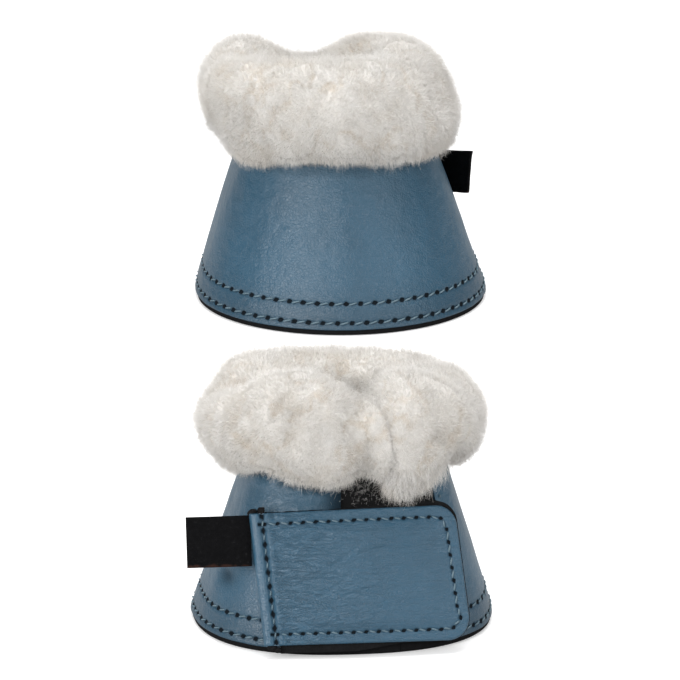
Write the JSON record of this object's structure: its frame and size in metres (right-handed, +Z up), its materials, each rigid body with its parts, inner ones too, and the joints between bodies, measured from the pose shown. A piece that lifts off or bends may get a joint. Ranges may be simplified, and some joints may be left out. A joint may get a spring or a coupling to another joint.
{
  "type": "bell boots",
  "caption": "Pair of flared bell boots for a horse: faux leather over black lining, thick fleece collar, wide hook and loop closing flap and a short black tape strap.",
  "frame": {"origin": "on the ground, in the middle of the pair's footprint", "axes": "+Z up, +Y from the right boot to the left boot, +X across; the right boot's closure faces -Y and the left boot's closure faces +Y"},
  "size_m": [0.1584, 0.73, 0.1425],
  "materials": {
    "leather": "soft satin faux leather with a fine grain",
    "lining": "matt black neoprene",
    "fleece": "deep off-white fleece pile",
    "thread": "matt dark blue-grey sewing thread",
    "light_thread": "light blue-grey sewing thread",
    "loop": "matt black loop fabric",
    "hook": "matt black hook fabric",
    "tape": "matt black woven tape"
  },
  "bodies": {
    "right_boot": {"right_outer_shell": "leather", "right_lining": "lining", "right_fleece_collar": "fleece", "right_hem_thread_upper": "thread", "right_hem_thread_lower": "thread", "right_collar_thread": "light_thread", "right_end_thread": "thread", "right_loop_field": "loop", "right_flap_base": "leather", "right_flap_seam_thread": "thread"},
    "right_flap": {"right_flap_panel": "leather", "right_flap_backing": "hook", "right_flap_border_thread": "thread"},
    "right_strap": {"right_strap": "tape"},
    "left_boot": {"left_outer_shell": "leather", "left_lining": "lining", "left_fleece_collar": "fleece", "left_hem_thread_upper": "thread", "left_hem_thread_lower": "thread", "left_collar_thread": "light_thread", "left_end_thread": "thread", "left_loop_field": "loop", "left_flap_base": "leather", "left_flap_seam_thread": "thread"},
    "left_flap": {"left_flap_panel": "leather", "left_flap_backing": "hook", "left_flap_border_thread": "thread"},
    "left_strap": {"left_strap": "tape"}
  },
  "joints": [
    {"name": "right_flap_fold", "type": "hinge", "parent": "right_boot", "child": "right_flap", "pos_m": [-0.03549, -0.35408, 0.03977], "axis": [0.1152, -0.3076, -0.9445], "range_deg": [0, 120]},
    {"name": "right_strap_bend", "type": "hinge", "parent": "right_boot", "child": "right_strap", "pos_m": [-0.04564, -0.34436, 0.0566], "axis": [-0.1068, 0.3109, 0.9444], "range_deg": [-50, 45]},
    {"name": "left_boot_slide", "type": "slide", "parent": "right_boot", "child": "left_boot", "axis": [0, -1, 0], "range_m": [0, 0.36]},
    {"name": "left_flap_fold", "type": "hinge", "parent": "left_boot", "child": "left_flap", "pos_m": [0.03826, 0.35372, 0.03977], "axis": [-0.1044, 0.3114, -0.9445], "range_deg": [0, 120]},
    {"name": "left_strap_bend", "type": "hinge", "parent": "left_boot", "child": "left_strap", "pos_m": [0.04807, 0.34366, 0.0566], "axis": [0.0959, -0.3144, 0.9444], "range_deg": [-5, 90]}
  ]
}
